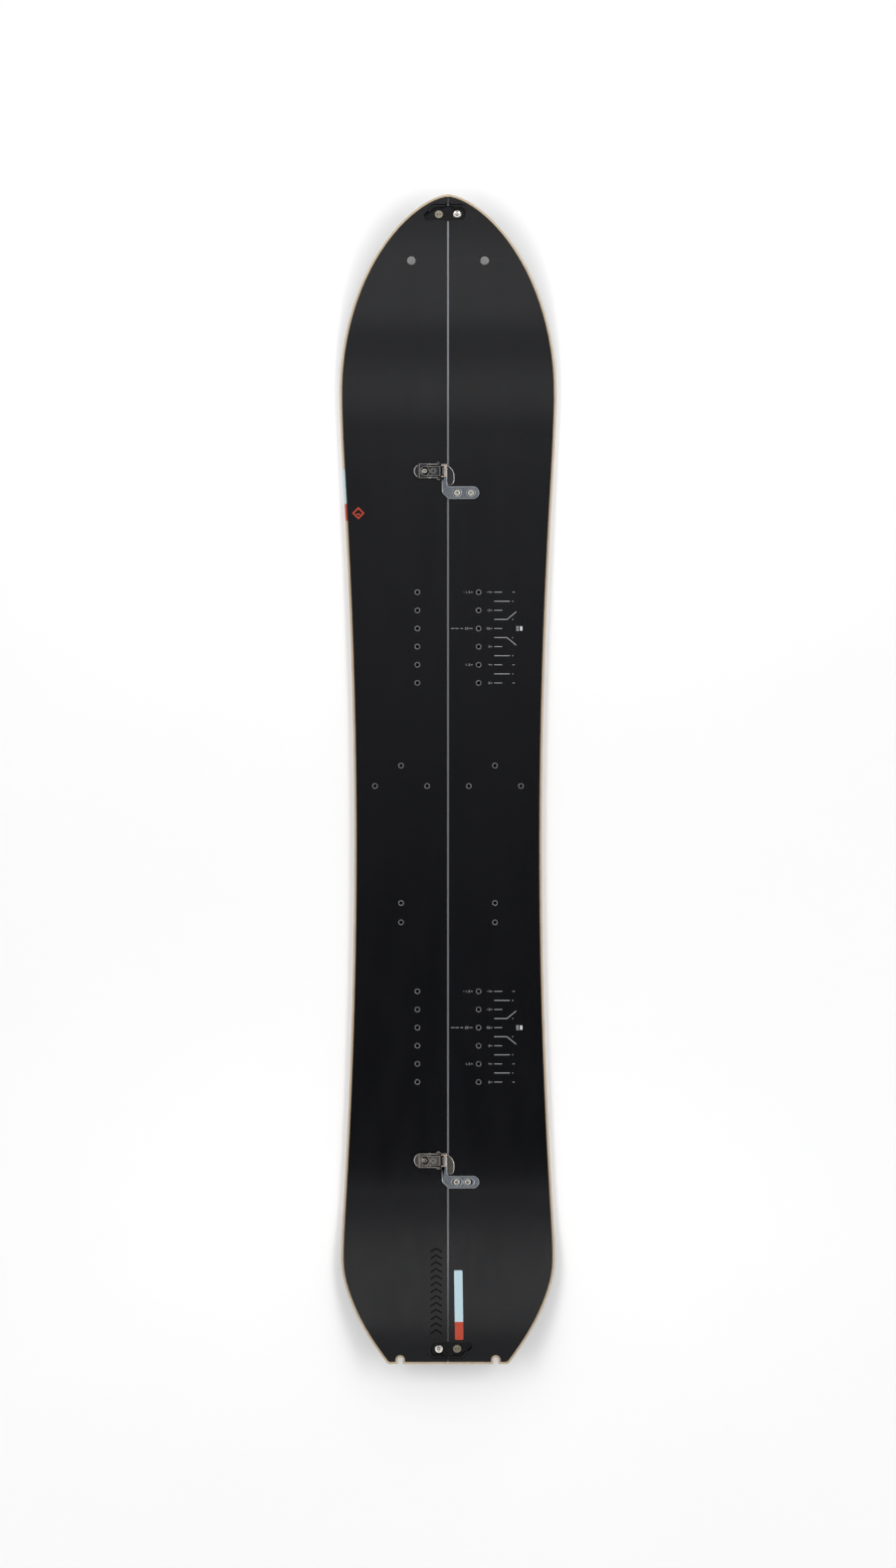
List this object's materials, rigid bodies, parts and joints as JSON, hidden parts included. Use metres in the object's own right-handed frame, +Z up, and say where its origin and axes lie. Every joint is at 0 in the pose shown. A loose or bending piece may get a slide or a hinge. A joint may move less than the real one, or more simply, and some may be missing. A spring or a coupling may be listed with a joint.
{
  "type": "splitboard",
  "caption": "Snowboard that splits lengthwise into two skis, held by two over-centre joiners and a turning clip at each end.",
  "frame": {"origin": "on the floor under the middle of the board's length, on the seam", "axes": "+X across the board to the right ski, +Y along the board to the tip, +Z up from the topsheet"},
  "size_m": [0.303, 1.6299, 0.0772],
  "materials": {
    "base": "satin",
    "edge_steel": "satin",
    "glass_laminate": "satin",
    "wood_core": "matte",
    "sidewall": "matte",
    "inner_sidewall": "matte",
    "topsheet": "matte",
    "insert_steel": "satin",
    "joiner_dark": "satin",
    "joiner_bronze": "satin",
    "catch_steel": "satin",
    "screw_steel": "satin",
    "bronze_bolt": "satin",
    "clip_plastic": "satin"
  },
  "bodies": {
    "board": {"left_base_sheet": "base", "left_outer_edge": "edge_steel", "left_inner_edge": "edge_steel", "left_lower_glass": "glass_laminate", "left_core": "wood_core", "left_outer_sidewall": "sidewall", "left_inner_sidewall": "inner_sidewall", "left_tip_spacer": "sidewall", "left_tail_spacer": "sidewall", "left_upper_glass": "glass_laminate", "left_topsheet": "topsheet", "left_binding_inserts": "insert_steel", "left_touring_inserts": "insert_steel", "left_tee_nuts": "insert_steel", "right_base_sheet": "base", "right_outer_edge": "edge_steel", "right_inner_edge": "edge_steel", "right_lower_glass": "glass_laminate", "right_core": "wood_core", "right_outer_sidewall": "sidewall", "right_inner_sidewall": "inner_sidewall", "right_tip_spacer": "sidewall", "right_tail_spacer": "sidewall", "right_upper_glass": "glass_laminate", "right_topsheet": "topsheet", "right_binding_inserts": "insert_steel", "right_touring_inserts": "insert_steel", "right_tee_nuts": "insert_steel", "front_joiner_base": "joiner_dark", "front_joiner_bolt": "screw_steel", "front_joiner_pivot_rivets": "screw_steel", "front_joiner_catch_plate": "catch_steel", "front_joiner_catch_screws": "screw_steel", "rear_joiner_base": "joiner_dark", "rear_joiner_bolt": "screw_steel", "rear_joiner_pivot_rivets": "screw_steel", "rear_joiner_catch_plate": "catch_steel", "rear_joiner_catch_screws": "screw_steel", "tip_clip_pivot_pad": "clip_plastic", "tip_clip_post_pad": "clip_plastic", "tip_clip_pivot_bolt": "bronze_bolt", "tip_clip_post_bolt": "screw_steel", "tail_clip_pivot_pad": "clip_plastic", "tail_clip_post_pad": "clip_plastic", "tail_clip_pivot_bolt": "bronze_bolt", "tail_clip_post_bolt": "screw_steel"},
    "front_lever": {"front_joiner_lever": "joiner_dark", "front_joiner_hook_pin": "screw_steel"},
    "front_draw_hook": {"front_joiner_draw_hook": "joiner_bronze"},
    "rear_lever": {"rear_joiner_lever": "joiner_dark", "rear_joiner_hook_pin": "screw_steel"},
    "rear_draw_hook": {"rear_joiner_draw_hook": "joiner_bronze"},
    "tip_arm": {"tip_clip_arm": "clip_plastic"},
    "tail_arm": {"tail_clip_arm": "clip_plastic"}
  },
  "joints": [
    {"name": "front_lever_hinge", "type": "hinge", "parent": "board", "child": "front_lever", "pos_m": [-0.0134, 0.4325, 0.0144], "axis": [0, 1, 0], "range_deg": [0, 100]},
    {"name": "front_draw_hook_hinge", "type": "hinge", "parent": "front_lever", "child": "front_draw_hook", "pos_m": [-0.0255, 0.4325, 0.0135], "axis": [0, 1, 0], "range_deg": [-100, 0]},
    {"name": "rear_lever_hinge", "type": "hinge", "parent": "board", "child": "rear_lever", "pos_m": [-0.0134, -0.5325, 0.0144], "axis": [0, 1, 0], "range_deg": [0, 100]},
    {"name": "rear_draw_hook_hinge", "type": "hinge", "parent": "rear_lever", "child": "rear_draw_hook", "pos_m": [-0.0255, -0.5325, 0.0135], "axis": [0, 1, 0], "range_deg": [-100, 0]},
    {"name": "tip_arm_hinge", "type": "hinge", "parent": "board", "child": "tip_arm", "pos_m": [-0.0127, 0.78863, 0.07061], "axis": [0, -0.4098, 0.9122], "range_deg": [-80, 0]},
    {"name": "tail_arm_hinge", "type": "hinge", "parent": "board", "child": "tail_arm", "pos_m": [0.0127, -0.7945, 0.04586], "axis": [0, 0.3194, 0.9476], "range_deg": [-80, 0]}
  ],
  "couplings": [
    {"joint": "front_draw_hook_hinge", "follows": "front_lever_hinge", "ratio": -1},
    {"joint": "rear_draw_hook_hinge", "follows": "rear_lever_hinge", "ratio": -1}
  ]
}
